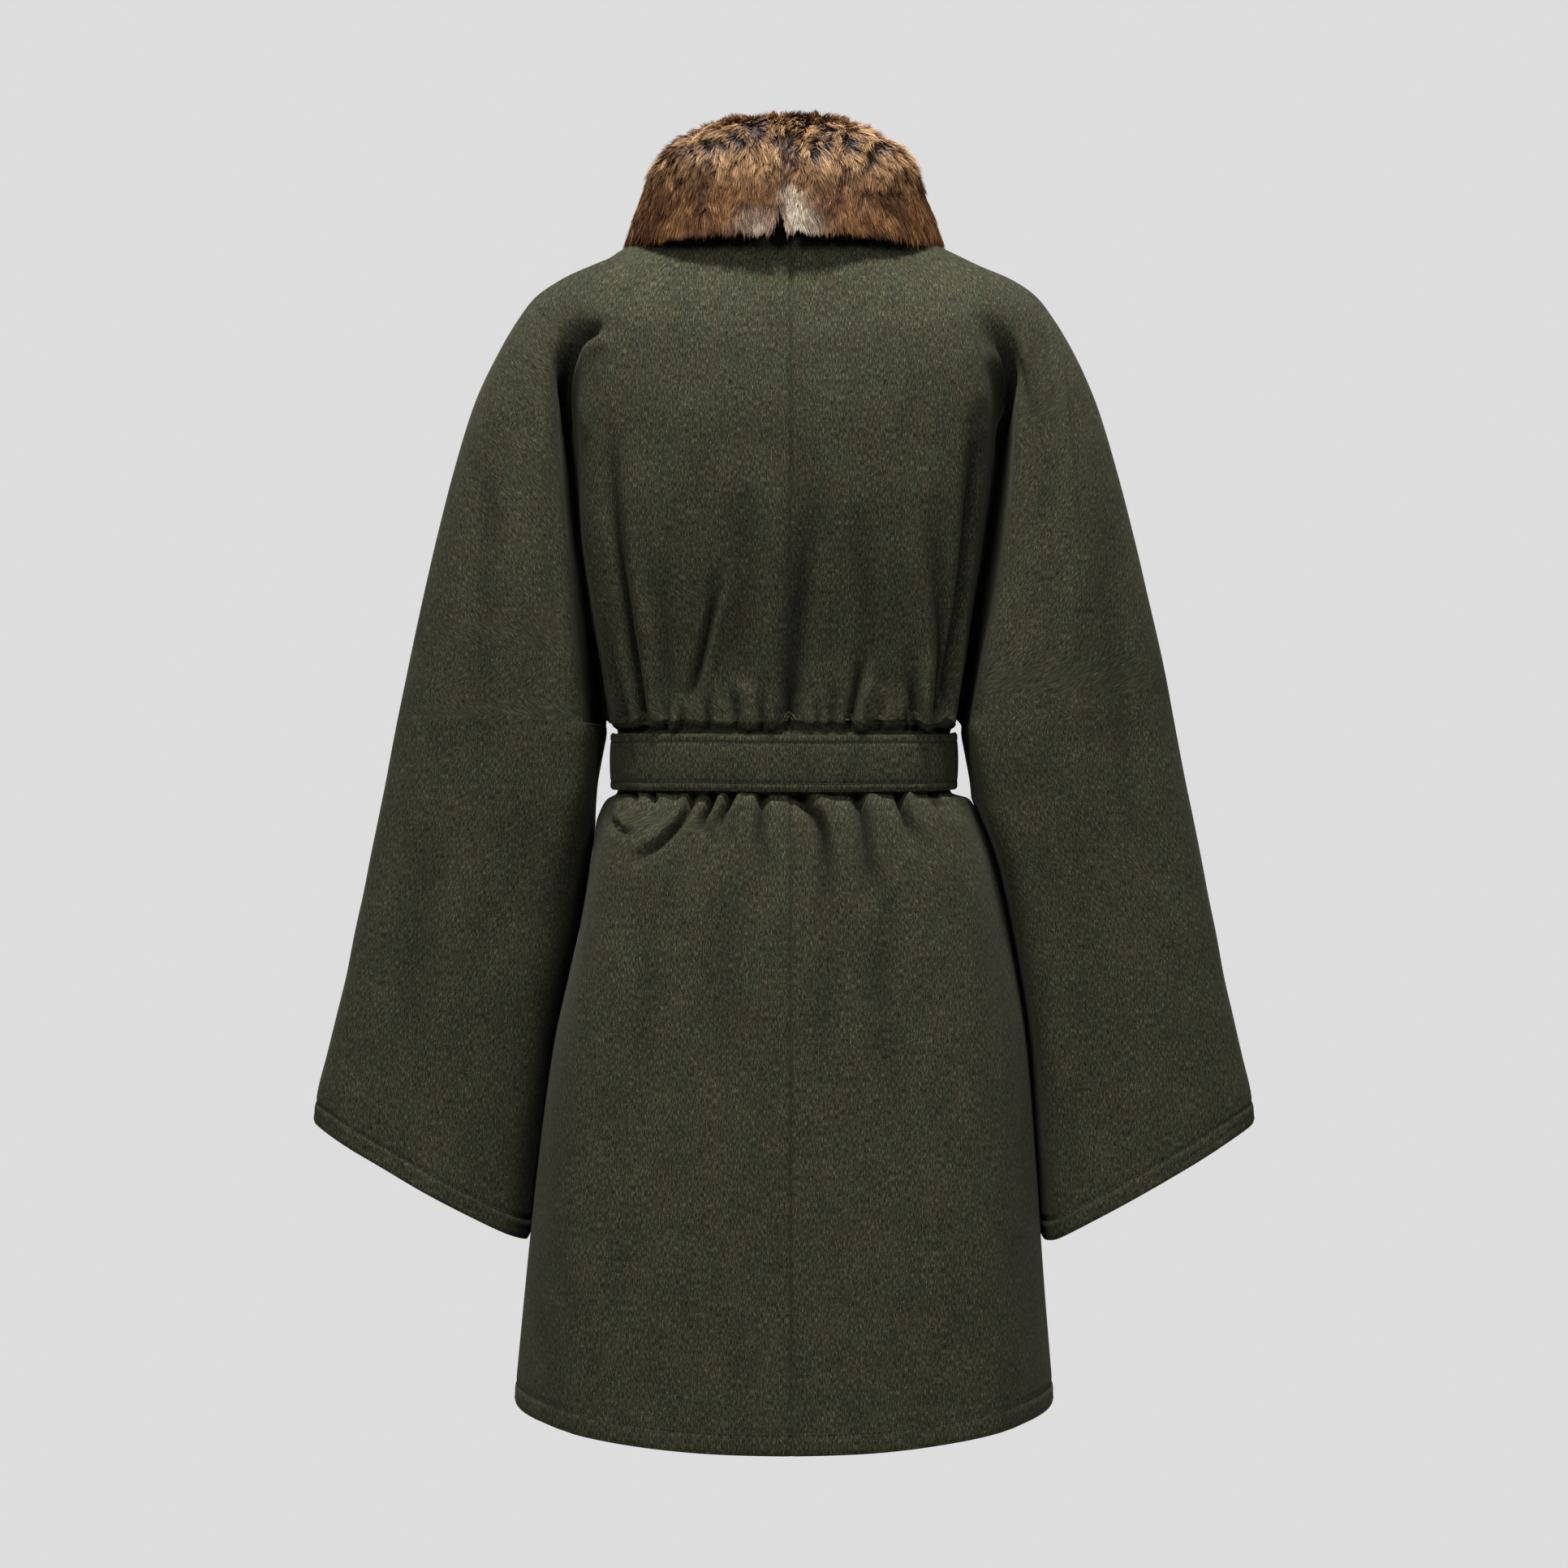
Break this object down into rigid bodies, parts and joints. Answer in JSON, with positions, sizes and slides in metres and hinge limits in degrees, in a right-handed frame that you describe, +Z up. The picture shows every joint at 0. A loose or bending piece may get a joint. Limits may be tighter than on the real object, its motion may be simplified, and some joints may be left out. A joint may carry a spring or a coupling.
{
  "type": "loden cape with fur collar",
  "caption": "Belted wool cape-coat with wide cape sleeves cut in one with the body, flared skirt and turn-down fur collar.",
  "frame": {"origin": "mount wearer: centre of the base of the wearer's neck, between the shoulders", "axes": "+Z up towards the collar, +Y the way the wearer faces (the front), +X the wearer's right side"},
  "size_m": [0.692, 0.305, 0.9581],
  "materials": {
    "loden": "matte fulled wool with a short nap",
    "fur": "soft brown fur with a light sheen"
  },
  "bodies": {
    "root": {"back_left": "loden", "back_right": "loden", "front_left": "loden", "front_right": "loden", "under_collar": "loden", "fur_collar_left": "fur", "fur_collar_right": "fur", "belt": "loden"}
  },
  "joints": []
}
